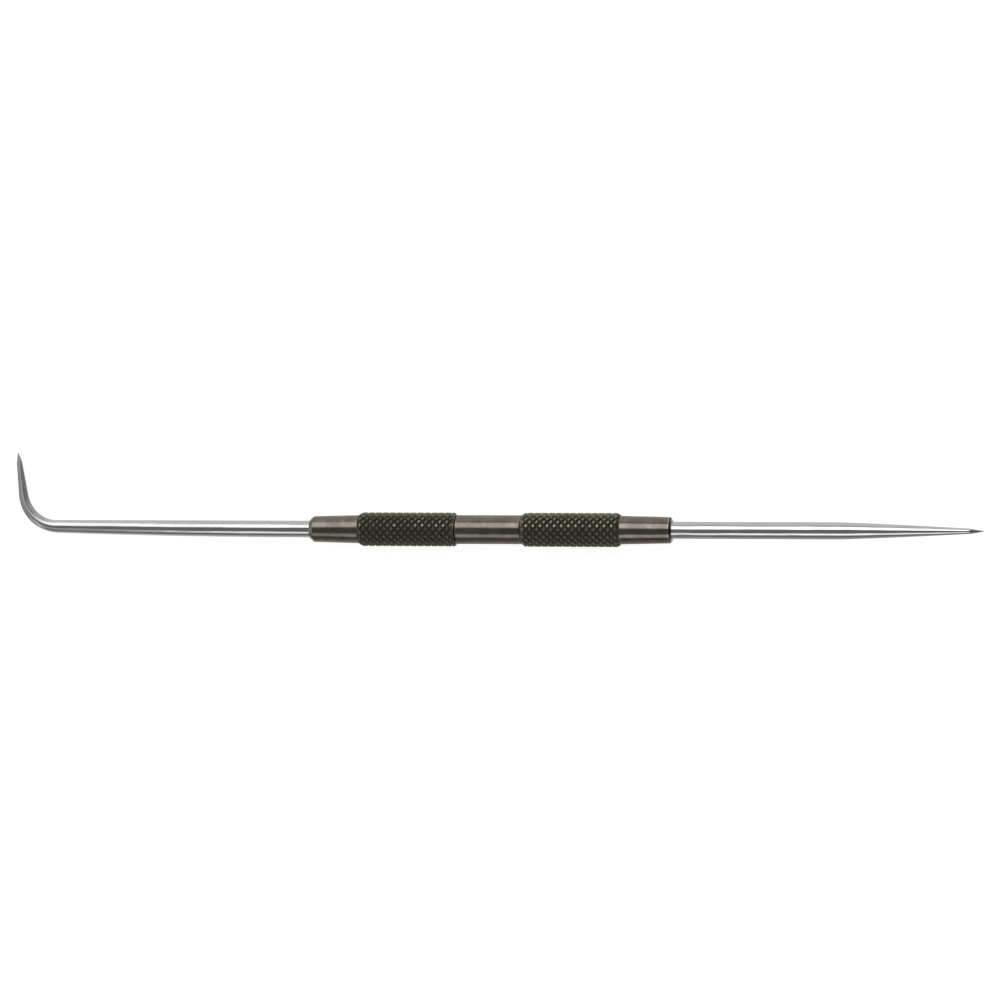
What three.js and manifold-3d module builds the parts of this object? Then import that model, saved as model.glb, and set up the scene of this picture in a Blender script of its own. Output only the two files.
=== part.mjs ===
// Double-ended engineer's scriber.
// A smooth centre barrel carries a knurled chuck sleeve with a tapered nose at each end.
// Inside each sleeve a split collet grips a hardened steel point, one straight and one bent.
// Millimetres, +Z up. +X runs along the handle to the straight point and the hook leans to +Y.
// The tool lies as it does on a bench, on its two knurled bands and the tip of the hook.

import * as THREE from 'three';
import { mergeVertices } from 'three/addons/utils/BufferGeometryUtils.js';
import Module from 'manifold-3d';

const wasm = await Module();
wasm.setup();

// Centre barrel
const barrelLength = 15.3;
const barrelRadius = 3.42;
const barrelEdgeBreak = 0.2;

// Threaded spigot at each end of the barrel, M6 x 0.75 drawn as a plain cylinder at its pitch line
const spigotLength = 9.3;
const spigotRadius = 2.72;
const spigotLeadIn = 0.3;
const threadReliefWidth = 0.9;
const threadReliefDepth = 0.2;
const tailBoreDepth = 14.3;
const tailBoreMouth = 0.25;

// Chuck sleeve: knurled band, then a tapered nose
const knurlLength = 23.45;
const knurlCrestRadius = 4.0;
const knurlDepth = 0.36;
const knurlStarts = 13;
const knurlPitch = 1.69;
const knurlFlatShare = 0.3;
const noseLength = 12.05;
const noseRootRadius = 3.35;
const noseEndRadius = 3.08;
const sleeveThreadLength = 10.2;
const sleeveMouthLeadIn = 0.2;

// What differs between the two sleeves: turned-off corners as [along the axis, towards the axis]
const bentSleeveCorners = { inner: [0.5, 0.45], outer: [0.75, 0.5], nose: [0.9, 0.7] };
const straightSleeveCorners = { inner: [0.8, 0.5], outer: [0.75, 0.5], nose: [0.3, 0.35] };

// Collet
const colletLength = 13.7;
const colletRadius = 2.5;
const colletFrontRadius = 2.25;
const colletConeAngle = 10;
const colletRearChamfer = 0.3;
const colletSlits = 4;
const slitWidth = 0.4;
const slitShare = 0.72;

// Points
const rodRadius = 2.0;
const tailChamfer = 0.3;
const straightShank = 38.29;
const straightTaper = 30.48;
const straightTaperBow = 1.24;
const straightNeckRadius = 0.63;
const straightGrindLength = 3.48;
const stemParallel = 3.6;
const stemLength = 63.3;
const stemEndRadius = 1.58;
const stemTaperBow = 2;
const bendRadius = 9.74;
const bendAngle = 78;
const bendEndRadius = 1.12;
const armLength = 8.4;
const armNeckRadius = 0.66;
const bentGrindLength = 2.65;

// Clearances, radial unless named otherwise
const seatGap = 0.3;
const threadClearance = 0.1;
const colletOuterClearance = 0.1;
const colletGripClearance = 0.05;
const tailBoreClearance = 0.1;
const noseBoreClearance = 0.15;

// Facets
const turnedSides = 40;
const boredSides = 40;
const rodSides = 24;
const taperSteps = 8;
const bendSteps = 9;
const cutMargin = 1;
const mergeDistance = 1e-4;

// Places along the axis, measured outwards from the middle of the barrel
const shoulder = barrelLength / 2;
const spigotEnd = shoulder + spigotLength;
const tailBoreEnd = spigotEnd - tailBoreDepth;
const sleeveRear = shoulder + seatGap;
const sleeveThreadEnd = sleeveRear + sleeveThreadLength;
const knurlEnd = sleeveRear + knurlLength;
const noseEnd = knurlEnd + noseLength;
const colletRear = spigotEnd + seatGap;
const colletFront = colletRear + colletLength;
const pointTail = tailBoreEnd + seatGap;

const coneSlope = Math.tan(THREE.MathUtils.degToRad(colletConeAngle));
const coneStart = colletFront - (colletRadius - colletFrontRadius) / coneSlope;
const colletBore = colletRadius + colletOuterClearance;
const noseBore = rodRadius + noseBoreClearance;
const coneEnd = coneStart + (colletBore - noseBore) / coneSlope;

// Finishes
const blackenedSteel = { color: 0x6b5f58, roughness: 0.42, metalness: 0.9 };
const knurledSteel = { color: 0x4a4842, roughness: 0.5, metalness: 0.85 };
const springSteel = { color: 0x7d7f82, roughness: 0.35, metalness: 1.0 };
const platedSteel = { color: 0xc9cccb, roughness: 0.18, metalness: 1.0 };

// Merges doubled corners and drops the flat triangles that a revolve leaves on its axis
function closedMesh(geometry) {
  geometry.deleteAttribute('normal');
  geometry.deleteAttribute('uv');
  const merged = mergeVertices(geometry, mergeDistance);
  const corners = merged.index.array;
  const kept = [];
  for (let i = 0; i < corners.length; i += 3) {
    const [a, b, c] = [corners[i], corners[i + 1], corners[i + 2]];
    if (a !== b && b !== c && c !== a) kept.push(a, b, c);
  }
  merged.setIndex(kept);
  return merged;
}

function toSolid(geometry) {
  return new wasm.Manifold(new wasm.Mesh({
    numProp: 3,
    vertProperties: new Float32Array(geometry.attributes.position.array),
    triVerts: new Uint32Array(geometry.index.array),
  }));
}

function toGeometry(solid) {
  const mesh = solid.getMesh();
  const geometry = new THREE.BufferGeometry();
  geometry.setAttribute('position', new THREE.BufferAttribute(mesh.vertProperties, 3));
  geometry.setIndex(new THREE.BufferAttribute(mesh.triVerts, 1));
  return geometry;
}

// Revolves a profile of [along the axis, radius] about the X axis
function turned(profile, sides, turn = 0) {
  const outline = profile.map(([along, radius]) => new THREE.Vector2(radius, along));
  const geometry = new THREE.LatheGeometry(outline, sides, turn);
  geometry.rotateZ(-Math.PI / 2);
  return closedMesh(geometry);
}

// Sweeps a round section of changing radius through stations that lie in the XY plane
function sweptRod(stations, tip) {
  const positions = [];
  const triangles = [];
  for (const { x, y, heading, radius } of stations) {
    for (let i = 0; i < rodSides; i += 1) {
      const angle = (2 * Math.PI * i) / rodSides;
      const side = radius * Math.cos(angle);
      positions.push(x - side * Math.sin(heading), y + side * Math.cos(heading));
      positions.push(radius * Math.sin(angle));
    }
  }
  const tailCentre = positions.length / 3;
  const tipCentre = tailCentre + 1;
  positions.push(stations[0].x, stations[0].y, 0);
  positions.push(tip.x, tip.y, 0);
  const last = (stations.length - 1) * rodSides;
  for (let i = 0; i < rodSides; i += 1) {
    const next = (i + 1) % rodSides;
    triangles.push(tailCentre, next, i);
    triangles.push(tipCentre, last + i, last + next);
    for (let ring = 0; ring < last; ring += rodSides) {
      triangles.push(ring + i, ring + next, ring + rodSides + i);
      triangles.push(ring + next, ring + rodSides + next, ring + rodSides + i);
    }
  }
  const geometry = new THREE.BufferGeometry();
  geometry.setAttribute('position', new THREE.Float32BufferAttribute(positions, 3));
  geometry.setIndex(triangles);
  return geometry;
}

// Radius along a drawn-down taper: it leaves the parallel shank gently and steepens outwards
function taperRadius(from, to, bow, share) {
  return to + (from - to) * (1 - share ** bow);
}

// Barrel with a threaded spigot and a blind bore for the point's tail at each end
function barrelGeometry() {
  const tailBore = rodRadius + tailBoreClearance;
  const half = [
    [tailBoreEnd, 0],
    [tailBoreEnd, tailBore],
    [spigotEnd - tailBoreMouth, tailBore],
    [spigotEnd, tailBore + tailBoreMouth],
    [spigotEnd, spigotRadius - spigotLeadIn],
    [spigotEnd - spigotLeadIn, spigotRadius],
    [shoulder + threadReliefWidth + threadReliefDepth, spigotRadius],
    [shoulder + threadReliefWidth, spigotRadius - threadReliefDepth],
    [shoulder, spigotRadius - threadReliefDepth],
    [shoulder, barrelRadius - barrelEdgeBreak],
    [shoulder - barrelEdgeBreak, barrelRadius],
  ];
  const otherHalf = half.map(([along, radius]) => [-along, radius]);
  return turned([...otherHalf, ...half.reverse()], turnedSides);
}

// The knurl before its tips are turned off: rings of corners half a pitch apart, where every other
// corner is the peak of a four-sided diamond and the corners between lie at the root
function knurlBlank() {
  const columns = 2 * knurlStarts;
  const ringStep = knurlPitch / 2;
  const rings = Math.ceil((knurlLength + 2 * cutMargin) / ringStep) + 1;
  const rootRadius = knurlCrestRadius - knurlDepth;
  const peakRadius = rootRadius + knurlDepth / (1 - knurlFlatShare);
  const positions = [];
  const triangles = [];
  for (let ring = 0; ring < rings; ring += 1) {
    for (let column = 0; column < columns; column += 1) {
      const radius = (ring + column) % 2 === 0 ? peakRadius : rootRadius;
      const angle = (2 * Math.PI * column) / columns;
      positions.push(sleeveRear - cutMargin + ring * ringStep);
      positions.push(-radius * Math.sin(angle), radius * Math.cos(angle));
    }
  }
  const rearCentre = positions.length / 3;
  const frontCentre = rearCentre + 1;
  positions.push(positions[0], 0, 0);
  positions.push(positions[3 * (rearCentre - 1)], 0, 0);
  const lastRing = (rings - 1) * columns;
  for (let column = 0; column < columns; column += 1) {
    const next = (column + 1) % columns;
    triangles.push(rearCentre, next, column);
    triangles.push(frontCentre, lastRing + column, lastRing + next);
    for (let ring = 0; ring < rings - 1; ring += 1) {
      const [a, b] = [ring * columns + column, ring * columns + next];
      const [d, c] = [a + columns, b + columns];
      if ((ring + column) % 2 === 0) triangles.push(a, b, d, b, c, d);
      else triangles.push(a, b, c, a, c, d);
    }
  }
  const geometry = new THREE.BufferGeometry();
  geometry.setAttribute('position', new THREE.Float32BufferAttribute(positions, 3));
  geometry.setIndex(triangles);
  return geometry;
}

// The band that the knurl is turned down to, with its corners off. Its flats face the diamonds, so
// each peak is left with a flat top
function knurlEnvelope(corners) {
  const columns = 2 * knurlStarts;
  const acrossCorners = 1 / Math.cos(Math.PI / columns);
  const [innerLength, innerDepth] = corners.inner;
  const [outerLength, outerDepth] = corners.outer;
  const profile = [
    [sleeveRear, 0],
    [sleeveRear, knurlCrestRadius - innerDepth],
    [sleeveRear + innerLength, knurlCrestRadius],
    [knurlEnd - outerLength, knurlCrestRadius],
    [knurlEnd, knurlCrestRadius - outerDepth],
    [knurlEnd, 0],
  ];
  const corneredProfile = profile.map(([along, radius]) => [along, radius * acrossCorners]);
  return turned(corneredProfile, columns, Math.PI / columns);
}

function noseGeometry(corners) {
  const [chamferLength, chamferDepth] = corners.nose;
  return turned([
    [knurlEnd - cutMargin, 0],
    [knurlEnd - cutMargin, noseRootRadius],
    [knurlEnd, noseRootRadius],
    [noseEnd - chamferLength, noseEndRadius],
    [noseEnd, noseEndRadius - chamferDepth],
    [noseEnd, 0],
  ], turnedSides);
}

// Everything bored out of a sleeve: thread, collet chamber, closing cone and clearance for the rod
function sleeveBoreGeometry() {
  const threadBore = spigotRadius + threadClearance;
  return turned([
    [sleeveRear - cutMargin, 0],
    [sleeveRear - cutMargin, threadBore + sleeveMouthLeadIn],
    [sleeveRear, threadBore + sleeveMouthLeadIn],
    [sleeveRear + sleeveMouthLeadIn, threadBore],
    [sleeveThreadEnd, threadBore],
    [sleeveThreadEnd, colletBore],
    [coneStart, colletBore],
    [coneEnd, noseBore],
    [noseEnd + cutMargin, noseBore],
    [noseEnd + cutMargin, 0],
  ], boredSides);
}

function sleeveGeometry(corners) {
  const knurl = toSolid(knurlBlank()).intersect(toSolid(knurlEnvelope(corners)));
  const outside = knurl.add(toSolid(noseGeometry(corners)));
  return toGeometry(outside.subtract(toSolid(sleeveBoreGeometry())));
}

// Split collet: a thin tube whose front cone is squeezed by the sleeve, slit from the front
function colletGeometry() {
  const grip = rodRadius + colletGripClearance;
  const tube = toSolid(turned([
    [colletRear, grip],
    [colletRear, colletRadius - colletRearChamfer],
    [colletRear + colletRearChamfer, colletRadius],
    [coneStart, colletRadius],
    [colletFront, colletFrontRadius],
    [colletFront, grip],
    [colletRear, grip],
  ], boredSides));
  const slitLength = colletLength * slitShare;
  let split = tube;
  for (let i = 0; i < colletSlits; i += 1) {
    const slit = new THREE.BoxGeometry(slitLength + cutMargin, slitWidth, 2 * colletRadius);
    slit.translate(colletFront + (cutMargin - slitLength) / 2, 0, colletRadius);
    slit.rotateX((2 * Math.PI * (i + 0.5)) / colletSlits);
    split = split.subtract(toSolid(closedMesh(slit)));
  }
  return toGeometry(split);
}

// The chamfered tail that both points share, up to the radius that the collet grips
function tailStations() {
  return [
    { x: pointTail, y: 0, heading: 0, radius: rodRadius - tailChamfer },
    { x: pointTail + tailChamfer, y: 0, heading: 0, radius: rodRadius },
  ];
}

function straightPointGeometry() {
  const taperStart = noseEnd + straightShank;
  const stations = tailStations();
  for (let i = 0; i <= taperSteps; i += 1) {
    const share = i / taperSteps;
    const radius = taperRadius(rodRadius, straightNeckRadius, straightTaperBow, share);
    stations.push({ x: taperStart + straightTaper * share, y: 0, heading: 0, radius });
  }
  return sweptRod(stations, { x: taperStart + straightTaper + straightGrindLength, y: 0 });
}

// The stem tapers on its outer side only, so its flank towards the hook stays in line, then it bends
// round into an arm that leans outwards and ends in a ground point
function bentPointGeometry() {
  const bendStart = noseEnd + stemLength;
  const stemTaper = stemLength - stemParallel;
  const turn = THREE.MathUtils.degToRad(bendAngle);
  const stations = tailStations();
  for (let i = 0; i <= taperSteps; i += 1) {
    const share = i / taperSteps;
    const radius = taperRadius(rodRadius, stemEndRadius, stemTaperBow, share);
    const x = noseEnd + stemParallel + stemTaper * share;
    stations.push({ x, y: rodRadius - radius, heading: 0, radius });
  }
  const bendRise = rodRadius - stemEndRadius;
  for (let i = 1; i <= bendSteps; i += 1) {
    const share = i / bendSteps;
    const heading = turn * share;
    stations.push({
      x: bendStart + bendRadius * Math.sin(heading),
      y: bendRise + bendRadius * (1 - Math.cos(heading)),
      heading,
      radius: THREE.MathUtils.lerp(stemEndRadius, bendEndRadius, share),
    });
  }
  const bendEnd = stations[stations.length - 1];
  const alongArm = (distance) => ({
    x: bendEnd.x + distance * Math.cos(turn),
    y: bendEnd.y + distance * Math.sin(turn),
  });
  stations.push({ ...alongArm(armLength), heading: turn, radius: armNeckRadius });
  return sweptRod(stations, alongArm(armLength + bentGrindLength));
}

// How far the hook rolls down about the handle's axis before it meets the bench, which lies one
// knurl radius below the axis
function restingRoll(geometry) {
  const corner = geometry.attributes.position;
  let roll = Math.PI / 2;
  for (let i = 0; i < corner.count; i += 1) {
    const reach = Math.hypot(corner.getY(i), corner.getZ(i));
    if (reach > knurlCrestRadius) {
      const lean = Math.atan2(corner.getZ(i), corner.getY(i));
      roll = Math.min(roll, Math.asin(knurlCrestRadius / reach) - lean);
    }
  }
  return roll;
}

function piece(name, geometry, finish) {
  const mesh = new THREE.Mesh(geometry, new THREE.MeshStandardMaterial(finish));
  mesh.material.flatShading = true;
  mesh.name = name;
  return mesh;
}

const barrel = piece('centre_barrel', barrelGeometry(), blackenedSteel);

const straightEnd = new THREE.Group();
straightEnd.add(
  piece('straight_end_sleeve', sleeveGeometry(straightSleeveCorners), knurledSteel),
  piece('straight_end_collet', colletGeometry(), springSteel),
  piece('straight_point', straightPointGeometry(), platedSteel),
);

const bentEnd = new THREE.Group();
const bentPoint = piece('bent_point', bentPointGeometry(), platedSteel);
bentPoint.rotation.x = restingRoll(bentPoint.geometry);
bentEnd.add(
  piece('bent_end_sleeve', sleeveGeometry(bentSleeveCorners), knurledSteel),
  piece('bent_end_collet', colletGeometry(), springSteel),
  bentPoint,
);
bentEnd.rotation.y = Math.PI;

const scriber = new THREE.Group();
scriber.name = 'engineers_scriber';
scriber.add(barrel, straightEnd, bentEnd);

// The origin is on the bench, under the middle of the tool
const extent = new THREE.Box3().setFromObject(scriber, true);
const middle = extent.getCenter(new THREE.Vector3());
scriber.position.set(-middle.x, -middle.y, -extent.min.z);
scriber.updateMatrixWorld(true);

export default scriber;
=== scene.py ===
"""Dresses the double-ended scriber: finer pieces, their finishes, the bench, light and camera.

Each piece is made in millimetres in its own end's frame, with +X outwards from the middle of the
barrel, and is then set down in metres where the frame holds it.
"""

import math

import bmesh
import bpy
from mathutils import Matrix, Vector


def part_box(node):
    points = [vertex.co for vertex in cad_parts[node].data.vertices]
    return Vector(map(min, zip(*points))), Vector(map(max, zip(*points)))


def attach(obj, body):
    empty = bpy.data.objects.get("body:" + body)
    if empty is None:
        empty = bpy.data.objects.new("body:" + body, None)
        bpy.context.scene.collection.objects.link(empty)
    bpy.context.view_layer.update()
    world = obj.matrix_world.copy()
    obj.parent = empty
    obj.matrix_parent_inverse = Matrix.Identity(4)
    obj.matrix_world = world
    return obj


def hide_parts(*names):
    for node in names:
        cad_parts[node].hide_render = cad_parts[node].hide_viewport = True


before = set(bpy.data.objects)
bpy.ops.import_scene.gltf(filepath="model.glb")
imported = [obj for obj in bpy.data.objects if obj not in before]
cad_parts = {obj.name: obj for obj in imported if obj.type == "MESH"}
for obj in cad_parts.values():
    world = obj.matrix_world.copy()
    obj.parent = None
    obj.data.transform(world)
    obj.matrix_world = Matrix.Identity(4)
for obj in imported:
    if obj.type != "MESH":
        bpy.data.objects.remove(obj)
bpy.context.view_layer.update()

# Sizes in millimetres, the same as those of the frame's solids

BARREL_LENGTH = 15.3
BARREL_RADIUS = 3.42
BARREL_EDGE = 0.2

SPIGOT_LENGTH = 9.3
THREAD_PITCH = 0.75
THREAD_CREST = 2.97
THREAD_ROOT = 2.57
THREAD_LEAD_IN = 0.45
THREAD_SINK = 0.06
THREAD_RUN_OUT = 0.5
# Shares of the pitch that a ridge's foot and its flat crest take up, outside and inside
SPIGOT_RIDGE = (0.75, 0.14)
SLEEVE_RIDGE = (0.82, 0.2)
RELIEF_WIDTH = 0.9
RELIEF_RADIUS = 2.52
TAIL_BORE_RADIUS = 2.1
TAIL_BORE_DEPTH = 14.3
TAIL_BORE_MOUTH = 0.25
DRILL_POINT = 1.2
SPIGOT_CHAMFER = 0.1

KNURL_LENGTH = 23.45
KNURL_CREST = 4.0
KNURL_ROOT = 3.64
KNURL_STARTS = 13
KNURL_PITCH = 1.69
KNURL_PHASE = 1.0
# From the rim of a diamond inwards, each step's width and the radius that it reaches
KNURL_STEPS = ((0.04, 3.64), (0.27, 3.94), (0.07, 4.0))
NOSE_LENGTH = 12.05
NOSE_ROOT_RADIUS = 3.35
NOSE_END_RADIUS = 3.08
SLEEVE_THREAD_LENGTH = 10.2
SLEEVE_THREAD_GROOVE = 3.01
SLEEVE_THREAD_RIDGE = 2.62
SLEEVE_MOUTH = 0.2
NOSE_MOUTH_LENGTH, NOSE_MOUTH_DEPTH = 0.12, 0.08

COLLET_LENGTH = 13.7
COLLET_RADIUS = 2.5
COLLET_FRONT_RADIUS = 2.25
COLLET_CONE = math.radians(10)
COLLET_CHAMFER = 0.3
COLLET_BORE = 2.05
SLIT_WIDTH = 0.4
SLIT_SHARE = 0.72

ROD_RADIUS = 2.0
TAIL_CHAMFER = 0.3
# A place on the rounded chamfer of a tail: along from its end, and how far that lies out
TAIL_CHAMFER_BOW = (0.08, 0.13)
STRAIGHT_SHANK = 38.29
STRAIGHT_TAPER = 30.48
STRAIGHT_BOW = 1.24
STRAIGHT_NECK = 0.63
STRAIGHT_GRIND = 3.48
STEM_PARALLEL = 3.6
STEM_LENGTH = 63.3
STEM_END_RADIUS = 1.58
STEM_BOW = 2
BEND_RADIUS = 9.74
BEND_ANGLE = math.radians(78)
BEND_END_RADIUS = 1.12
ARM_LENGTH = 8.4
ARM_NECK_RADIUS = 0.66
BENT_GRIND = 2.65
HOOK_ROLL = math.radians(11.837)

SEAT_GAP = 0.3
SHOULDER_GAP = 0.08
COLLET_CLEARANCE = 0.1
NOSE_CLEARANCE = 0.15

# Places along the axis, outwards from the middle of the barrel
SHOULDER = BARREL_LENGTH / 2
SPIGOT_END = SHOULDER + SPIGOT_LENGTH
TAIL_BORE_END = SPIGOT_END - TAIL_BORE_DEPTH
SLEEVE_REAR = SHOULDER + SEAT_GAP
BARREL_FACE = SLEEVE_REAR - SHOULDER_GAP
SLEEVE_THREAD_END = SLEEVE_REAR + SLEEVE_THREAD_LENGTH
KNURL_END = SLEEVE_REAR + KNURL_LENGTH
NOSE_END = KNURL_END + NOSE_LENGTH
COLLET_REAR = SPIGOT_END + SEAT_GAP
COLLET_FRONT = COLLET_REAR + COLLET_LENGTH
POINT_TAIL = TAIL_BORE_END + SEAT_GAP
CONE_SLOPE = math.tan(COLLET_CONE)
CONE_START = COLLET_FRONT - (COLLET_RADIUS - COLLET_FRONT_RADIUS) / CONE_SLOPE
CHAMBER_RADIUS = COLLET_RADIUS + COLLET_CLEARANCE
NOSE_BORE = ROD_RADIUS + NOSE_CLEARANCE
CONE_END = CONE_START + (CHAMBER_RADIUS - NOSE_BORE) / CONE_SLOPE
STRAIGHT_TAPER_START = NOSE_END + STRAIGHT_SHANK
STRAIGHT_GRIND_START = STRAIGHT_TAPER_START + STRAIGHT_TAPER
STEM_TAPER_START = NOSE_END + STEM_PARALLEL
BEND_START = NOSE_END + STEM_LENGTH
# This one is measured along the rod, round its bend
BENT_GRIND_START = BEND_START + BEND_RADIUS * BEND_ANGLE + ARM_LENGTH

# How finely round things are drawn
TURNED_STEPS = 96
THREAD_STEPS = 48
COLLET_STEPS = 72
ROD_SIDES = 56
STRAIGHT_TAPER_STEPS = 28
STEM_TAPER_STEPS = 30
BEND_STEPS = 26
# Shares of the arm and of a ground tip at which a ring is drawn
ARM_RINGS = (0.25, 0.5, 0.75, 1)
GRIND_RINGS = (0.04, 0.5, 0.9)
GRIND_BOW = 1.08
# Points nearer to each other than this become one
MERGE = 0.0005
# A ring this far inside a long face's end keeps the face's shading straight
GUARD = 0.25

# Where each end's pieces lie in the frame, which is in metres
MILLIMETRE = 0.001
low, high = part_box("centre_barrel")
handle_middle = (Vector(low) + Vector(high)) / 2
straight_end = Matrix.Translation(handle_middle) @ Matrix.Scale(MILLIMETRE, 4)
bent_end = straight_end @ Matrix.Rotation(math.pi, 4, "Y")
hook = bent_end @ Matrix.Rotation(HOOK_ROLL, 4, "X")


# Shapes

def wire(bm, corners):
    """Draws an open line of (along, radius, rounding) corners above the axis, each rounded off."""
    points = [bm.verts.new((along, 0, radius)) for along, radius, _ in corners]
    for near, far in zip(points, points[1:]):
        bm.edges.new((near, far))
    for rounding in sorted({corner[2] for corner in corners} - {0}):
        sharp = [point for point, corner in zip(points, corners) if corner[2] == rounding]
        bmesh.ops.bevel(
            bm, geom=sharp, affect="VERTICES", offset=rounding, offset_type="OFFSET",
            segments=3, profile=0.5, material=-1,
        )


def turn(bm, steps=TURNED_STEPS):
    """Spins the loose wires in the mesh once round the axis."""
    line = [edge for edge in bm.edges if not edge.link_faces]
    ends = [point for point in bm.verts if not point.link_faces]
    bmesh.ops.spin(
        bm, geom=ends + line, cent=(0, 0, 0), axis=(1, 0, 0), dvec=(0, 0, 0),
        angle=2 * math.pi, steps=steps, use_merge=True,
    )


def set_radius(points, radius):
    """Moves points straight out from the axis to one radius."""
    for point in points:
        point.co.yz = point.co.yz.normalized() * radius


def cut(bm, along, keep=0):
    """Cuts the mesh square across the axis and keeps all of it, or only what lies to one side."""
    bmesh.ops.bisect_plane(
        bm, geom=bm.verts[:] + bm.edges[:] + bm.faces[:], dist=MERGE,
        plane_co=(along, 0, 0), plane_no=(1, 0, 0), clear_inner=keep > 0, clear_outer=keep < 0,
    )


def bridge_at(bm, along):
    """Joins the two open rims that lie in one plane across the axis."""
    rims = [
        edge for edge in bm.edges
        if edge.is_boundary and all(abs(point.co.x - along) < MERGE for point in edge.verts)
    ]
    bmesh.ops.bridge_loops(bm, edges=rims)


def thread(start, end, root, crest, ridge, phase=0):
    """Winds one closed right-hand ridge on the root. It sinks into the root where it runs out."""
    sunk = root + math.copysign(THREAD_SINK, root - crest)
    half_foot, half_crest = [share * THREAD_PITCH / 2 for share in ridge]
    section = [
        (-half_foot, sunk), (-half_foot, root), (-half_crest, crest),
        (half_crest, crest), (half_foot, root), (half_foot, sunk),
    ]
    first = start + phase - THREAD_PITCH
    bm = bmesh.new()
    points = [bm.verts.new((first + along, 0, radius)) for along, radius in section]
    ring = [bm.edges.new(pair) for pair in zip(points, points[1:] + points[:1])]
    bmesh.ops.spin(
        bm, geom=points + ring, cent=(0, 0, 0), axis=(1, 0, 0), angle=2 * math.pi,
        dvec=(THREAD_PITCH / THREAD_STEPS, 0, 0), steps=THREAD_STEPS, use_merge=False,
    )
    one_turn = bm.verts[:] + bm.edges[:] + bm.faces[:]
    for turns in range(1, math.ceil((end - first) / THREAD_PITCH) + 1):
        copied = bmesh.ops.duplicate(bm, geom=one_turn)["geom"]
        copied = [item for item in copied if isinstance(item, bmesh.types.BMVert)]
        bmesh.ops.translate(bm, verts=copied, vec=(THREAD_PITCH * turns, 0, 0))
    bmesh.ops.remove_doubles(bm, verts=bm.verts, dist=MERGE)
    cut(bm, start, keep=1)
    cut(bm, end, keep=-1)
    bmesh.ops.holes_fill(bm, edges=[edge for edge in bm.edges if edge.is_boundary], sides=0)
    for point in bm.verts:
        room = min(point.co.x - start, end - point.co.x)
        share = min(1, room / THREAD_LEAD_IN)
        set_radius([point], sunk + (point.co.yz.length - sunk) * share)
    return bm


def join(bm, other, matrix=Matrix.Identity(4)):
    """Takes another mesh into this one."""
    bmesh.ops.transform(other, matrix=matrix, verts=other.verts)
    mesh = bpy.data.meshes.new("joined")
    other.to_mesh(mesh)
    other.free()
    bm.from_mesh(mesh)
    bpy.data.meshes.remove(mesh)


def barrel_mesh():
    """The smooth barrel with a drilled, threaded spigot at each end."""
    half = [
        (TAIL_BORE_END - DRILL_POINT, 0, 0),
        (TAIL_BORE_END, TAIL_BORE_RADIUS, 0),
        (SPIGOT_END - TAIL_BORE_MOUTH, TAIL_BORE_RADIUS, 0),
        (SPIGOT_END, TAIL_BORE_RADIUS + TAIL_BORE_MOUTH, 0.04),
        (SPIGOT_END, THREAD_ROOT - SPIGOT_CHAMFER, 0.03),
        (SPIGOT_END - SPIGOT_CHAMFER, THREAD_ROOT, 0),
        (SHOULDER + RELIEF_WIDTH + SPIGOT_CHAMFER, THREAD_ROOT, 0),
        (SHOULDER + RELIEF_WIDTH, RELIEF_RADIUS, 0.05),
        (BARREL_FACE, RELIEF_RADIUS, 0.15),
        (BARREL_FACE, BARREL_RADIUS - BARREL_EDGE, 0.05),
        (BARREL_FACE - BARREL_EDGE, BARREL_RADIUS, 0.07),
        (BARREL_FACE - BARREL_EDGE - GUARD, BARREL_RADIUS, 0),
    ]
    bm = bmesh.new()
    wire(bm, [(-along, radius, rounding) for along, radius, rounding in half] + half[::-1])
    turn(bm)
    for side in (Matrix.Identity(4), Matrix.Rotation(math.pi, 4, "Y")):
        start = SHOULDER + RELIEF_WIDTH
        join(bm, thread(start, SPIGOT_END, THREAD_ROOT, THREAD_CREST, SPIGOT_RIDGE), side)
    return bm


def knurled_skin(bm, corners):
    """Rolls the diamond knurl, then turns off its two corners."""
    half_pitch = KNURL_PITCH / 2
    first = SLEEVE_REAR - KNURL_PHASE - half_pitch
    rings = math.ceil((KNURL_END + half_pitch - first) / KNURL_PITCH) + 1
    points = [bm.verts.new((first + i * KNURL_PITCH, 0, KNURL_ROOT)) for i in range(rings)]
    for near, far in zip(points, points[1:]):
        bm.edges.new((near, far))
    turn(bm, KNURL_STARTS)
    squares = set(bm.edges)
    bmesh.ops.poke(bm, faces=bm.faces[:])
    set_radius(bm.verts, KNURL_ROOT)
    shared = [edge for edge in bm.edges if edge in squares and not edge.is_boundary]
    bmesh.ops.dissolve_edges(bm, edges=shared, use_verts=False)
    diamonds = [face for face in bm.faces if len(face.verts) == 4]
    for width, radius in KNURL_STEPS:
        bmesh.ops.inset_individual(bm, faces=diamonds, thickness=width, use_even_offset=True)
        set_radius({point for face in diamonds for point in face.verts}, radius)
    (inner_length, inner_depth), (outer_length, outer_depth) = corners["inner"], corners["outer"]
    for place in (SLEEVE_REAR + inner_length, KNURL_END - outer_length):
        cut(bm, place)
    cut(bm, SLEEVE_REAR, keep=1)
    cut(bm, KNURL_END, keep=-1)
    for point in bm.verts:
        limit = KNURL_CREST
        if point.co.x < SLEEVE_REAR + inner_length:
            limit -= inner_depth * (1 - (point.co.x - SLEEVE_REAR) / inner_length)
        if point.co.x > KNURL_END - outer_length:
            limit -= outer_depth * (1 - (KNURL_END - point.co.x) / outer_length)
        if point.co.yz.length > limit:
            set_radius([point], limit)


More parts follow.
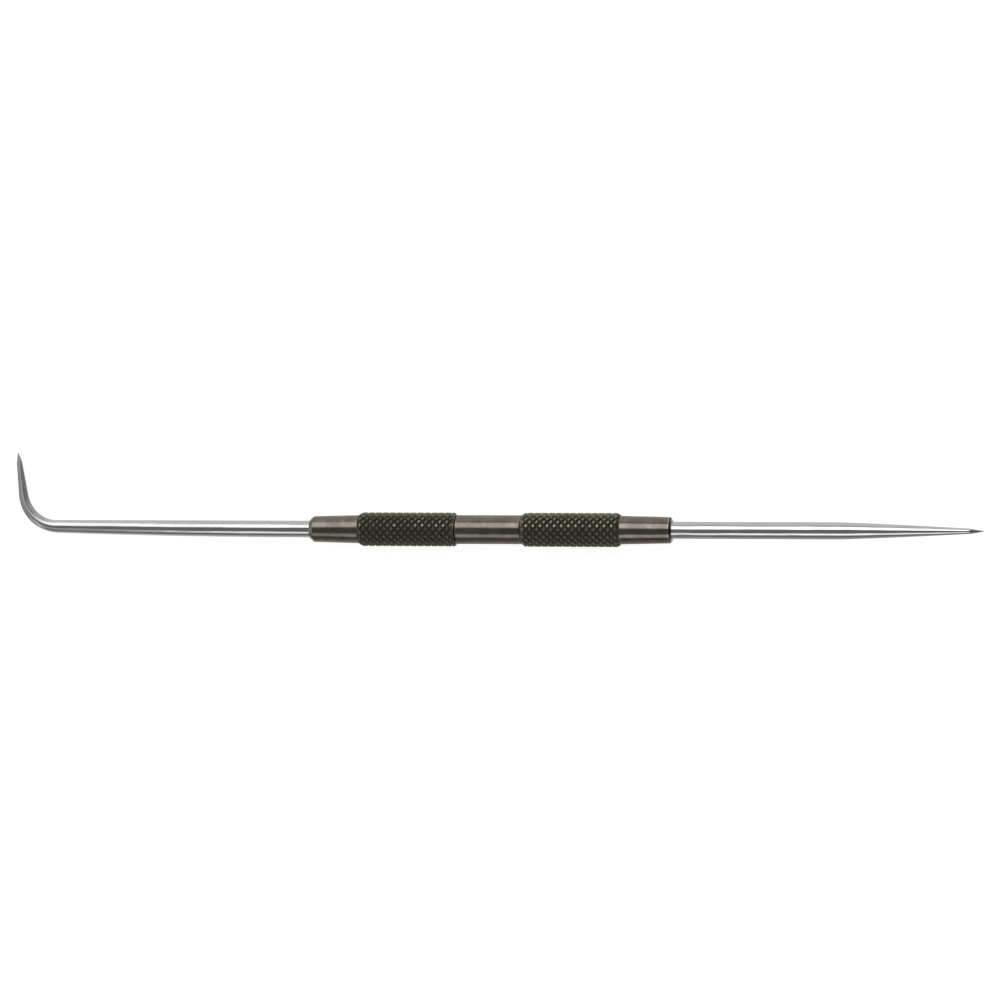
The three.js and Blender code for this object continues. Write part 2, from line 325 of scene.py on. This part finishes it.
def sleeve_mesh(corners):
    """A chuck sleeve: knurled band, tapered nose, thread, collet chamber and closing cone."""
    nose_length, nose_depth = corners["nose"]
    nose_rounding = corners["nose_rounding"]
    guard_step = (NOSE_ROOT_RADIUS - NOSE_END_RADIUS) * GUARD / (NOSE_LENGTH - nose_length)
    bm = bmesh.new()
    knurled_skin(bm, corners)
    wire(bm, [
        (SLEEVE_REAR, BARREL_RADIUS, 0),
        (SLEEVE_REAR, SLEEVE_THREAD_GROOVE + SLEEVE_MOUTH, 0.03),
        (SLEEVE_REAR + SLEEVE_MOUTH, SLEEVE_THREAD_GROOVE, 0),
        (SLEEVE_THREAD_END, SLEEVE_THREAD_GROOVE, 0),
        (SLEEVE_THREAD_END, CHAMBER_RADIUS, 0.05),
        (CONE_START, CHAMBER_RADIUS, 0.1),
        (CONE_END, NOSE_BORE, 0.1),
        (NOSE_END - NOSE_MOUTH_LENGTH, NOSE_BORE, 0),
        (NOSE_END, NOSE_BORE + NOSE_MOUTH_DEPTH, 0.02),
        (NOSE_END, NOSE_END_RADIUS - nose_depth, nose_rounding),
        (NOSE_END - nose_length, NOSE_END_RADIUS, nose_rounding),
        (NOSE_END - nose_length - GUARD, NOSE_END_RADIUS + guard_step, 0),
        (KNURL_END + GUARD, NOSE_ROOT_RADIUS - guard_step, 0),
        (KNURL_END, NOSE_ROOT_RADIUS, 0.06),
        (KNURL_END, BARREL_RADIUS + 0.03, 0),
    ])
    turn(bm)
    bridge_at(bm, SLEEVE_REAR)
    bridge_at(bm, KNURL_END)
    # The barrel's ridge runs half a pitch from this one, so the two are in mesh
    phase = (SHOULDER + RELIEF_WIDTH - SLEEVE_REAR) % THREAD_PITCH + THREAD_PITCH / 2
    join(bm, thread(
        SLEEVE_REAR, SLEEVE_THREAD_END - THREAD_RUN_OUT, SLEEVE_THREAD_GROOVE, SLEEVE_THREAD_RIDGE,
        SLEEVE_RIDGE, phase,
    ))
    return bm


def collet_mesh():
    """The split collet: its bore is slit, then thickened to a cylinder with a cone in front."""
    slit_start = COLLET_FRONT - COLLET_LENGTH * SLIT_SHARE
    bm = bmesh.new()
    places = [COLLET_REAR, COLLET_REAR + COLLET_CHAMFER, slit_start, CONE_START, COLLET_FRONT]
    wire(bm, [(place, COLLET_BORE, 0) for place in places])
    turn(bm, COLLET_STEPS)
    for quarter in range(4):
        across = Matrix.Rotation(math.radians(45 + 90 * quarter), 3, "X") @ Vector((0, 1, 0))
        bmesh.ops.bisect_plane(
            bm, geom=bm.verts[:] + bm.edges[:] + bm.faces[:], dist=MERGE,
            plane_co=across * SLIT_WIDTH / 2, plane_no=across,
        )
    slit = []
    for face in bm.faces:
        middle = face.calc_center_median()
        from_diagonal = abs(abs(middle.y) - abs(middle.z)) / math.sqrt(2)
        if middle.x > slit_start and from_diagonal < SLIT_WIDTH / 2:
            slit.append(face)
    bmesh.ops.delete(bm, geom=slit, context="FACES")
    bmesh.ops.recalc_face_normals(bm, faces=bm.faces)
    bore = set(bm.verts)
    bmesh.ops.solidify(bm, geom=bm.faces[:], thickness=COLLET_BORE - COLLET_RADIUS)
    for point in bm.verts:
        if point not in bore:
            along = point.co.x
            radius = COLLET_RADIUS - max(0, along - CONE_START) * CONE_SLOPE
            radius -= max(0, COLLET_REAR + COLLET_CHAMFER - along)
            set_radius([point], radius)
    return bm


def taper_radius(start, end, bow, share):
    """Radius along a drawn-down taper, which leaves the parallel shank gently."""
    return end + (start - end) * (1 - share ** bow)


def seat(place, heading, radius):
    """Where a ring of radius 1 goes to lie square across the rod at a station."""
    return (
        Matrix.Translation((place.x, place.y, 0)) @ Matrix.Rotation(heading, 4, "Z")
        @ Matrix.Rotation(math.pi / 2, 4, "Y") @ Matrix.Scale(radius, 4)
    )


def rod_mesh(stations, tip):
    """Draws a round rod ring by ring through (place, heading, radius) stations to a ground tip."""
    bm = bmesh.new()
    rod_place = bm.verts.layers.float_vector.new("rod_place")
    bmesh.ops.create_circle(bm, cap_ends=True, segments=ROD_SIDES, radius=1)
    ring, length, here = bm.edges[:], stations[0][0].x, seat(*stations[0])
    for point in bm.verts:
        point[rod_place] = (point.co.x, point.co.y, length)
    bmesh.ops.transform(bm, matrix=here, verts=bm.verts)
    for before, station in zip(stations, stations[1:] + [(tip, stations[-1][1], None)]):
        length += (station[0] - before[0]).length
        drawn = bmesh.ops.extrude_edge_only(bm, edges=ring)["geom"]
        points = [item for item in drawn if isinstance(item, bmesh.types.BMVert)]
        ring = [
            item for item in drawn
            if isinstance(item, bmesh.types.BMEdge) and all(end in points for end in item.verts)
        ]
        for point in points:
            point[rod_place].z = length
        if station[2]:
            there = seat(*station)
            bmesh.ops.transform(bm, matrix=there @ here.inverted(), verts=points)
            here = there
    bmesh.ops.pointmerge(bm, verts=points, merge_co=(tip.x, tip.y, 0))
    return bm


def shank_stations(taper_start):
    """The tail and the parallel shank that both points share."""
    bow_along, bow_out = TAIL_CHAMFER_BOW
    places = (
        (POINT_TAIL, TAIL_CHAMFER), (POINT_TAIL + bow_along, TAIL_CHAMFER - bow_out),
        (POINT_TAIL + TAIL_CHAMFER, 0), (POINT_TAIL + TAIL_CHAMFER + GUARD, 0),
        (taper_start - GUARD, 0),
    )
    return [(Vector((along, 0)), 0, ROD_RADIUS - depth) for along, depth in places]


def straight_point_mesh():
    """The shank, a long taper and a ground tip."""
    stations = shank_stations(STRAIGHT_TAPER_START)
    for i in range(STRAIGHT_TAPER_STEPS + 1):
        share = i / STRAIGHT_TAPER_STEPS
        radius = taper_radius(ROD_RADIUS, STRAIGHT_NECK, STRAIGHT_BOW, share)
        stations.append((Vector((STRAIGHT_TAPER_START + STRAIGHT_TAPER * share, 0)), 0, radius))
    for share in GRIND_RINGS:
        radius = STRAIGHT_NECK * (1 - share ** GRIND_BOW)
        stations.append((Vector((STRAIGHT_GRIND_START + STRAIGHT_GRIND * share, 0)), 0, radius))
    return rod_mesh(stations, Vector((STRAIGHT_GRIND_START + STRAIGHT_GRIND, 0)))


def bent_point_mesh():
    """The stem tapers on its outer side only, then bends round into an arm with a ground tip."""
    stations = shank_stations(STEM_TAPER_START)
    for i in range(STEM_TAPER_STEPS + 1):
        share = i / STEM_TAPER_STEPS
        radius = taper_radius(ROD_RADIUS, STEM_END_RADIUS, STEM_BOW, share)
        along = STEM_TAPER_START + (STEM_LENGTH - STEM_PARALLEL) * share
        stations.append((Vector((along, ROD_RADIUS - radius)), 0, radius))
    stem_end = stations[-1][0]
    for i in range(1, BEND_STEPS + 1):
        heading = BEND_ANGLE * i / BEND_STEPS
        offset = Vector((math.sin(heading), 1 - math.cos(heading))) * BEND_RADIUS
        radius = STEM_END_RADIUS + (BEND_END_RADIUS - STEM_END_RADIUS) * i / BEND_STEPS
        stations.append((stem_end + offset, heading, radius))
    bend_end = stations[-1][0]
    arm = Vector((math.cos(BEND_ANGLE), math.sin(BEND_ANGLE)))
    for share in ARM_RINGS:
        radius = BEND_END_RADIUS + (ARM_NECK_RADIUS - BEND_END_RADIUS) * share
        stations.append((bend_end + arm * ARM_LENGTH * share, BEND_ANGLE, radius))
    for share in GRIND_RINGS:
        radius = ARM_NECK_RADIUS * (1 - share ** GRIND_BOW)
        place = bend_end + arm * (ARM_LENGTH + BENT_GRIND * share)
        stations.append((place, BEND_ANGLE, radius))
    return rod_mesh(stations, bend_end + arm * (ARM_LENGTH + BENT_GRIND))


def piece(name, bm, place, body, node, finish, crease=35):
    """Closes a mesh, sets it down in the frame, finishes it and lets it ride on its body."""
    bmesh.ops.remove_doubles(bm, verts=bm.verts, dist=MERGE)
    bmesh.ops.recalc_face_normals(bm, faces=bm.faces)
    bmesh.ops.transform(bm, matrix=place, verts=bm.verts)
    mesh = bpy.data.meshes.new(name)
    bm.to_mesh(mesh)
    bm.free()
    mesh.shade_smooth()
    mesh.set_sharp_from_angle(angle=math.radians(crease))
    mesh.materials.append(finish)
    made = bpy.data.objects.new(name, mesh)
    bpy.context.scene.collection.objects.link(made)
    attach(made, body)
    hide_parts(node)


# Finishes

class Value:
    """One output socket, so that shader maths reads as plain expressions."""

    def __init__(self, tree, socket):
        self.tree = tree
        self.socket = socket

    def __add__(self, other):
        return self.tree.maths("ADD", self, other)

    def __sub__(self, other):
        return self.tree.maths("SUBTRACT", self, other)

    def __rsub__(self, other):
        return self.tree.maths("SUBTRACT", other, self)

    def __mul__(self, other):
        return self.tree.maths("MULTIPLY", self, other)

    __radd__ = __add__
    __rmul__ = __mul__


class Tree:
    """Writes the nodes of a material or of the world."""

    def __init__(self, owner):
        owner.use_nodes = True
        self.owner = owner
        self.nodes = owner.node_tree.nodes
        self.links = owner.node_tree.links

    def feed(self, socket, value):
        """Links a worked value to a socket, or sets a plain one on it."""
        if isinstance(value, Value):
            self.links.new(value.socket, socket)
        elif value is not None:
            socket.default_value = value

    def node(self, kind, settings=None, values=None, output=0):
        """Adds a node: its settings first, then the values or links of its sockets."""
        made = self.nodes.new(kind)
        for name, setting in (settings or {}).items():
            setattr(made, name, setting)
        for name, value in (values or {}).items():
            self.feed(made.inputs[name], value)
        return Value(self, made.outputs[output])

    def maths(self, operation, *values):
        return self.node("ShaderNodeMath", {"operation": operation}, dict(enumerate(values)))

    def ease(self, value, start, end, low=0.0, high=1.0):
        """Runs smoothly from low to high while the value goes from start to end."""
        return self.node("ShaderNodeMapRange", {"interpolation_type": "SMOOTHSTEP"}, {
            "Value": value, "From Min": start, "From Max": end, "To Min": low, "To Max": high,
        })

    def blend(self, share, first, second):
        """Mixes two colours."""
        return self.node(
            "ShaderNodeMix", {"data_type": "RGBA"}, {0: share, 6: first, 7: second}, output=2
        )

    def stretch(self, vector, amounts):
        """Scales a place, so that a noise read there is drawn out where the amount is small."""
        return self.node(
            "ShaderNodeVectorMath", {"operation": "MULTIPLY"}, {0: vector, 1: amounts}
        )

    def noise(self, vector, scale, detail=2.0, roughness=0.5):
        return self.node("ShaderNodeTexNoise", {"noise_dimensions": "3D"}, {
            "Vector": vector, "Scale": scale, "Detail": detail, "Roughness": roughness,
        })

    def on_axis(self):
        """Millimetres from the middle of the barrel: the vector, along the axis and out from it."""
        local = self.node("ShaderNodeTexCoord", output=3)
        centred = self.node("ShaderNodeMapping", {"vector_type": "POINT"}, {
            "Vector": local,
            "Location": handle_middle / -MILLIMETRE,
            "Scale": Vector((1, 1, 1)) / MILLIMETRE,
        })
        along = self.node("ShaderNodeSeparateXYZ", values={"Vector": centred})
        across = self.stretch(centred, (0, 1, 1))
        out = self.node("ShaderNodeVectorMath", {"operation": "LENGTH"}, {0: across}, output=1)
        return centred, self.maths("ABSOLUTE", along), out


def colour(red, green, blue):
    return (red, green, blue, 1)


def fade(share, first, second):
    """Goes from the first value to the second as the share goes from 0 to 1."""
    return first + share * (second - first)


OILED_THREAD = colour(0.05, 0.045, 0.04)
# How far the marks of turning and of lapping stand proud, in metres
TURNED_MARKS = 0.000008
LAPPED_MARKS = 0.00005


def metal(tree, base, roughness, height, depth):
    """Feeds the metal shader. Depth is how far the height stands proud, in metres."""
    shader = tree.nodes["Principled BSDF"]
    shader.inputs["Metallic"].default_value = 1.0
    bump = tree.node("ShaderNodeBump", None, {"Strength": 1.0, "Distance": depth, "Height": height})
    tree.feed(shader.inputs["Base Color"], base)
    tree.feed(shader.inputs["Roughness"], roughness)
    tree.feed(shader.inputs["Normal"], bump)


def turned_steel(tree):
    """Turned steel, chemically blackened: its place, then its colour, roughness and height."""
    place, along, out = tree.on_axis()
    rings = tree.noise(tree.stretch(place, (9, 0.5, 0.5)), 1.0, 3)
    fine_rings = tree.noise(tree.stretch(place, (40, 0.7, 0.7)), 1.0, 2)
    cloud = tree.noise(place, 0.35, 3, 0.6)
    speckle = tree.noise(place, 3.2, 3, 0.65)
    rub = tree.noise(tree.stretch(place, (0.3, 2.2, 2.2)), 1.0, 3)
    stain = tree.ease(cloud * 0.7 + speckle * 0.3, 0.42, 0.62)
    base = tree.blend(stain, colour(0.186, 0.162, 0.134), colour(0.250, 0.222, 0.187))
    base = tree.blend(tree.ease(speckle, 0.6, 0.72) * 0.5, base, colour(0.120, 0.100, 0.080))
    base = tree.blend(tree.ease(rub, 0.58, 0.72) * 0.35, base, colour(0.31, 0.295, 0.27))
    roughness = 0.11 + speckle * 0.09 + fine_rings * 0.05
    height = rings * 0.5 + fine_rings * 0.3 + speckle * 0.2
    return place, along, out, base, roughness, height


def barrel_finish():
    """The barrel, with its edges rubbed bright and its oiled threads dark between their crests."""
    tree = Tree(bpy.data.materials.new("blackened_barrel_steel"))
    place, along, out, base, roughness, height = turned_steel(tree)
    edge = tree.ease(along, BARREL_FACE - 2 * BARREL_EDGE, BARREL_FACE - BARREL_EDGE / 2)
    edge = edge * tree.ease(out, BARREL_RADIUS - 0.22, BARREL_RADIUS - 0.12)
    worn = edge * tree.ease(tree.noise(place, 1.6, 2), 0.35, 0.6)
    base = tree.blend(worn * 0.6, base, colour(0.40, 0.37, 0.34))
    crest = tree.ease(out, THREAD_ROOT + 0.2, THREAD_CREST)
    threaded = tree.blend(crest, OILED_THREAD, colour(0.30, 0.28, 0.26))
    spigot = tree.ease(along, BARREL_FACE + 0.01, BARREL_FACE + 0.04)
    base = tree.blend(spigot, base, threaded)
    metal(tree, base, roughness, height, TURNED_MARKS)
    return tree.owner


def sleeve_finish():
    """The sleeves: a smooth nose, a knurl with painted shade on its near side, painted shade on the
    nose's end, and a dark inside.
    """
    tree = Tree(bpy.data.materials.new("blackened_sleeve_steel"))
    place, along, out, base, roughness, height = turned_steel(tree)
    # The nose's outer edge is painted lighter: partly rubbed wear, partly a painted highlight along
    # the start of its chamfer
    nose_edge_wear_and_highlight = tree.ease(along, NOSE_END - 0.7, NOSE_END - 0.55)
    nose_edge_wear_and_highlight = nose_edge_wear_and_highlight * tree.ease(out, NOSE_END_RADIUS - 0.1, NOSE_END_RADIUS - 0.04)
    base = tree.blend(nose_edge_wear_and_highlight * 0.5, base, colour(0.46, 0.45, 0.42))
    grime = tree.noise(place, 1.1, 3, 0.6)
    to_right, to_far_side = [
        tree.node("ShaderNodeSeparateXYZ", values={"Vector": place}, output=i) for i in range(2)
    ]
    # Painted shade: towards the near side the knurl's grooves and flats are painted darker, with
    # less contrast, in place of how the light falls there
    near_side_painted_shade = tree.ease(to_far_side - grime * 1.5, 0.3, -1.2)
    # The grooves of the knurl hold oil and blacking; their near-black colour down in the corners is
    # partly that and partly painted shade
    groove = tree.blend(
        tree.ease(grime, 0.35, 0.65), colour(0.140, 0.132, 0.090), colour(0.195, 0.185, 0.130)
    )
    groove = tree.blend(near_side_painted_shade, groove, colour(0.095, 0.089, 0.063))
    # Partly painted shade: the crevices at the groove floors are painted near black
    crevice_oil_and_shade = tree.ease(out, KNURL_ROOT + 0.12, KNURL_ROOT + 0.01)
    crevice_oil_and_shade = crevice_oil_and_shade * tree.ease(along, SLEEVE_REAR + 0.1, SLEEVE_REAR + 0.5)
    groove = tree.blend(crevice_oil_and_shade * (1.0 - near_side_painted_shade * 0.4), groove, colour(0.030, 0.028, 0.020))
    # The flats of the diamonds are rubbed in patches, a little more towards the straight end, and
    # dimmed on the near side by the painted shade
    rubbed = tree.ease(tree.noise(place, 0.24, 3) + to_right * 0.003, 0.4, 0.6)
    rubbed = rubbed * (1.0 - near_side_painted_shade * 0.7)
    flat = tree.blend(rubbed, colour(0.100, 0.096, 0.070), colour(0.215, 0.208, 0.165))
    crest = tree.ease(out + grime * 0.1, KNURL_CREST - 0.12, KNURL_CREST + 0.03)
    knurl = tree.ease(along, KNURL_END + 0.02, KNURL_END - 0.02)
    knurl = knurl * tree.ease(out, BARREL_RADIUS - 0.37, BARREL_RADIUS - 0.12)
    base = tree.blend(knurl, base, tree.blend(crest, groove, flat))
    # The thread and the chamber are dark with oil
    inside = tree.ease(out, SLEEVE_THREAD_GROOVE + 0.02, SLEEVE_THREAD_GROOVE - 0.04)
    inside = inside * tree.ease(along, NOSE_END - 0.7, NOSE_END - 0.9)
    base = tree.blend(inside, base, OILED_THREAD)
    # Painted shade: the chamfer round the nose's mouth and its end face are painted near black, as
    # if in shadow
    mouth_ring_painted_shade = tree.ease(along, NOSE_END - 0.41, NOSE_END - 0.36)
    mouth_ring_painted_shade = mouth_ring_painted_shade * tree.ease(out, NOSE_END_RADIUS - 0.42, NOSE_END_RADIUS - 0.38)
    end_face_painted_shade = tree.ease(along, NOSE_END - 0.06, NOSE_END - 0.02)
    mouth_painted_shade = tree.maths("MAXIMUM", mouth_ring_painted_shade, end_face_painted_shade)
    base = tree.blend(mouth_painted_shade * 0.9, base, colour(0.03, 0.027, 0.024))
    knurl_roughness = 0.29 - crest * rubbed * 0.09 + grime * 0.08 + near_side_painted_shade * 0.09
    metal(tree, base, fade(knurl, roughness, knurl_roughness), height, TURNED_MARKS)
    # Dirt takes some of the metal's shine from the knurl, and the painted shade takes more on its
    # near side
    shine = 1.0 - knurl * (near_side_painted_shade * 0.3 + 0.2)
    tree.feed(tree.nodes["Principled BSDF"].inputs["Metallic"], shine)
    return tree.owner


def collet_finish():
    """Spring steel, clouded by its tempering and marked by fine rings of grinding."""
    tree = Tree(bpy.data.materials.new("ground_spring_steel"))
    place, _, _ = tree.on_axis()
    rings = tree.noise(tree.stretch(place, (22, 0.6, 0.6)), 1.0, 3)
    temper = tree.noise(place, 0.5, 2)
    base = tree.blend(temper, colour(0.36, 0.35, 0.35), colour(0.5, 0.49, 0.47))
    metal(tree, base, 0.22 + rings * 0.12, rings, TURNED_MARKS)
    return tree.owner


def point_finish(name, grind_start, dull_start, dull_end):
    """Nickel-plated, polished rod. It grows dull from dull_start to dull_end, and its tip is ground
    bare from grind_start, in millimetres along the rod."""
    tree = Tree(bpy.data.materials.new(name))
    drawn = tree.node(
        "ShaderNodeAttribute", {"attribute_type": "GEOMETRY", "attribute_name": "rod_place"},
        output=1,
    )
    along = tree.node("ShaderNodeSeparateXYZ", values={"Vector": drawn}, output=2)
    lapping = tree.noise(tree.stretch(drawn, (0.4, 0.4, 6)), 1.0, 2)
    wave = tree.noise(tree.stretch(drawn, (1.1, 1.1, 0.16)), 1.0, 1)
    streaks = tree.noise(tree.stretch(drawn, (1.9, 1.9, 0.05)), 1.0, 3, 0.6)
    cloud = tree.noise(tree.stretch(drawn, (0.7, 0.7, 0.1)), 1.0, 3, 0.55)
    handling = tree.noise(tree.stretch(drawn, (2.2, 2.2, 0.9)), 1.0, 4, 0.6)
    marks = tree.noise(tree.stretch(drawn, (3, 3, 9)), 1.0, 2)
    base = tree.blend(
        tree.ease(cloud, 0.35, 0.65), colour(0.595, 0.60, 0.595), colour(0.645, 0.65, 0.64)
    )
    base = tree.blend(tree.ease(handling, 0.58, 0.75) * 0.25, base, colour(0.42, 0.41, 0.39))
    dull = tree.ease(along + cloud * 3.0, dull_start, dull_end)
    dull_streaked = tree.blend(
        tree.ease(streaks, 0.36, 0.64), colour(0.22, 0.22, 0.217), colour(0.34, 0.337, 0.332)
    )
    base = tree.blend(dull, base, dull_streaked)
    ground = tree.ease(along + handling * 0.5, grind_start + 0.1, grind_start + 0.6)
    bare = tree.blend(marks, colour(0.26, 0.26, 0.255), colour(0.44, 0.435, 0.43))
    base = tree.blend(ground, base, bare)
    roughness = 0.06 + handling * 0.05 + lapping * 0.03 + dull * 0.26 + ground * 0.14
    height = wave + lapping * 0.01 + ground * marks * 0.08
    metal(tree, base, roughness, height, LAPPED_MARKS)
    return tree.owner


# The pieces

# How each sleeve's corners are turned off: along the axis, then towards the axis
bent_corners = {
    "inner": (0.5, 0.45), "outer": (0.75, 0.5), "nose": (0.9, 0.7), "nose_rounding": 0.12,
}
straight_corners = {
    "inner": (0.8, 0.5), "outer": (0.75, 0.5), "nose": (0.38, 0.38), "nose_rounding": 0.06,
}
barrel_steel, sleeve_steel, collet_steel = barrel_finish(), sleeve_finish(), collet_finish()
# The bent point is darker and duller past the start of its bend. The straight one would be only
# beyond its tip, so it stays bright
DULL_FROM, DULL_TO = 3, 10
BEYOND_TIP = 50

piece(
    "barrel", barrel_mesh(), straight_end, "barrel", "centre_barrel", barrel_steel
)
ends = (("bent", bent_end, bent_corners), ("straight", straight_end, straight_corners))
for end, place, corners in ends:
    piece(
        f"{end}_sleeve", sleeve_mesh(corners), place, f"{end}_sleeve", f"{end}_end_sleeve",
        sleeve_steel, crease=28,
    )
    piece(
        f"{end}_collet", collet_mesh(), place, f"{end}_collet", f"{end}_end_collet",
        collet_steel,
    )
piece(
    "straight_scribing_point", straight_point_mesh(), straight_end, "straight_rod",
    "straight_point",
    point_finish(
        "plated_straight_point", STRAIGHT_GRIND_START,
        STRAIGHT_GRIND_START + BEYOND_TIP, STRAIGHT_GRIND_START + BEYOND_TIP + DULL_TO,
    ),
)
piece(
    "hooked_scribing_point", bent_point_mesh(), hook, "bent_rod",
    "bent_point",
    point_finish(
        "plated_hooked_point", BENT_GRIND_START, BEND_START + DULL_FROM, BEND_START + DULL_TO,
    ),
)

# Camera: 0.8 m from the handle, turned to the straight end by the angle that the photograph shows

CAMERA_TURN = math.radians(12.5)
CAMERA_ROLL = math.radians(0.2)
CAMERA_DISTANCE = 0.8
LENS, SENSOR = 122.5, 36.0
# How far the picture's centre lies from the handle's middle, as shares of the picture's width
HANDLE_OFF_CENTRE = Vector((0.0105, 0.0296))

focal_share = SENSOR / LENS
towards = Vector((math.sin(CAMERA_TURN), 0, math.cos(CAMERA_TURN)))
right = Vector((0, 1, 0)).cross(towards)
up = Vector((0, 1, 0))
right, up = (
    right * math.cos(CAMERA_ROLL) + up * math.sin(CAMERA_ROLL),
    up * math.cos(CAMERA_ROLL) - right * math.sin(CAMERA_ROLL),
)
shift = HANDLE_OFF_CENTRE * focal_share * CAMERA_DISTANCE
aim = handle_middle + right * shift.x + up * shift.y
eye = handle_middle + towards * CAMERA_DISTANCE
back = (eye - aim).normalized()
right = up.cross(back).normalized()
up = back.cross(right)
camera = bpy.data.objects.new("camera", bpy.data.cameras.new("camera"))
camera.data.sensor_width = SENSOR
camera.data.lens = LENS
camera.data.clip_start, camera.data.clip_end = 0.05, 20
camera.matrix_world = Matrix.Translation(eye) @ Matrix((right, up, back)).transposed().to_4x4()
bpy.context.scene.collection.objects.link(camera)
bpy.context.scene.camera = camera

# Bench: a plain white sheet, left out of reflections, where the studio's own light shows instead

BENCH_HALF_WIDTH = 5
bm = bmesh.new()
bmesh.ops.create_grid(bm, x_segments=1, y_segments=1, size=BENCH_HALF_WIDTH)
sheet = bpy.data.meshes.new("bench")
bm.to_mesh(sheet)
bm.free()
bench = bpy.data.objects.new("bench", sheet)
bpy.context.scene.collection.objects.link(bench)
white = Tree(bpy.data.materials.new("white_bench"))
for name, value in (
    ("Base Color", colour(0.5, 0.5, 0.5)), ("Roughness", 0.9), ("Specular IOR Level", 0.1),
    ("Emission Color", colour(1, 1, 1)), ("Emission Strength", 0.86),
):
    white.feed(white.nodes["Principled BSDF"].inputs[name], value)
sheet.materials.append(white.owner)
bench.visible_glossy = False

# Light: two long soft boxes over the bench with an unlit strip between, and pale surroundings

# How bright each part is. Where a part changes along the bench, it runs from the hooked end, which
# is to the left, to the straight end
STRIP = 0.175
FAR_SIDE = 0.73
NEAR_SIDE_LEFT, NEAR_SIDE_RIGHT = 0.8, 0.47
FAR_BOX_LEFT, FAR_BOX_MIDDLE, FAR_BOX_RIGHT = 1.5, 1.73, 2.0
NEAR_BOX_LEFT, NEAR_BOX_BRIGHT, NEAR_BOX_MIDDLE, NEAR_BOX_RIGHT = 0.39, 1.25, 0.67, 1.43
LEFT_WALL, LEFT_WALL_FOOT, LEFT_WALL_FAR_FOOT = 0.95, 0.25, 0.6
RIGHT_WALL, RIGHT_WALL_FOOT = 0.09, 1.25
RIGHT_WALL_FAR, RIGHT_WALL_CORNER, RIGHT_WALL_NEAR = 0.34, 1.2, 0.45

studio = Tree(bpy.data.worlds.new("studio"))
bpy.context.scene.world = studio.owner
direction = studio.node("ShaderNodeTexCoord", output=0)
to_right, to_far_side, upwards = [
    studio.node("ShaderNodeSeparateXYZ", values={0: direction}, output=i) for i in range(3)
]
# Degrees round the handle from overhead: plus to the far side, minus to the near side
around = studio.maths("ARCTAN2", to_far_side, upwards) * math.degrees(1)

# The two long sides of the room
near_side = studio.ease(to_right, -0.36, -0.22, NEAR_SIDE_LEFT - STRIP, NEAR_SIDE_RIGHT - STRIP)
far_side = studio.ease(around, 53, 77, STRIP, FAR_SIDE)
surroundings = far_side + studio.ease(around, -82, -135) * near_side

# The far box reaches lower where the hooked point's stem mirrors it than where the nose does
far_box_edge = studio.ease(to_right, -0.15, -0.24, 11, 14)
far_box_foot = (
    studio.ease(to_right, -0.3, -0.2, 61, 57.5) + studio.ease(to_right, -0.316, -0.324, 0, 13)
    + studio.ease(to_right, -0.296, -0.288) * studio.ease(to_right, -0.268, -0.276, 0, 11)
)
far_box = studio.ease(around - far_box_edge, 0, 6) * studio.ease(around - far_box_foot, 0, -5)
far_box = far_box * studio.ease(to_right, -0.62, -0.42)
far_light = (
    studio.ease(to_right, -0.32, -0.25, FAR_BOX_LEFT, FAR_BOX_MIDDLE)
    + studio.ease(to_right, -0.2, -0.12) * (FAR_BOX_RIGHT - FAR_BOX_MIDDLE)
)

# The near box is wider towards the bend of the hook
near_box_edge = studio.ease(to_right, -0.335, -0.35, -37, -25)
near_box = studio.ease(around - near_box_edge, 0, -4) * studio.ease(around, -68.5, -62)
near_light = (
    studio.ease(to_right, -0.35, -0.295, NEAR_BOX_LEFT, NEAR_BOX_BRIGHT)
    - studio.ease(to_right, -0.275, -0.235) * (NEAR_BOX_BRIGHT - NEAR_BOX_MIDDLE)
    + studio.ease(to_right, -0.21, -0.13) * (NEAR_BOX_RIGHT - NEAR_BOX_MIDDLE)
)

# The walls beyond the two ends show in the hook's arm, in the knurl and in the views from the side
left_end = studio.ease(to_right, -0.6, -0.85)
right_end = studio.ease(to_right, 0.06, 0.14)
far_end = studio.ease(to_far_side, 0.2, 0.4)
near_end = studio.ease(to_far_side, -0.45, -0.65)
far_corner = studio.ease(to_far_side, 0.56, 0.66) * studio.ease(upwards, 0.52, 0.4)
far_corner = far_corner * studio.ease(to_right, 0.76, 0.7)
left_light = studio.ease(upwards, -0.25, 0.0, LEFT_WALL_FOOT, LEFT_WALL)
left_light = fade(far_end * studio.ease(upwards, 0.0, -0.2), left_light, LEFT_WALL_FAR_FOOT)
right_light = studio.ease(upwards, 0.1, -0.5, RIGHT_WALL, RIGHT_WALL_FOOT)
right_light = fade(far_end * studio.ease(upwards, 0.9, 0.3), right_light, RIGHT_WALL_FAR)
right_light = fade(far_corner, right_light, RIGHT_WALL_CORNER)
right_light = fade(near_end, right_light, RIGHT_WALL_NEAR)

light = fade(far_box, surroundings, far_light)
light = fade(near_box, light, near_light)
light = fade(left_end, light, left_light)
light = fade(right_end, light, right_light)
tint = studio.blend(far_box + near_box, colour(1.025, 1, 0.98), colour(0.985, 1, 1.015))
# What the camera sees past the bench is plain white
seen = studio.node("ShaderNodeLightPath", output=0)
background = studio.nodes["Background"].inputs
studio.feed(background["Strength"], fade(seen, light, 1.0))
studio.feed(background["Color"], studio.blend(seen, tint, colour(1, 1, 1)))
bpy.context.scene.view_settings.view_transform = "Standard"
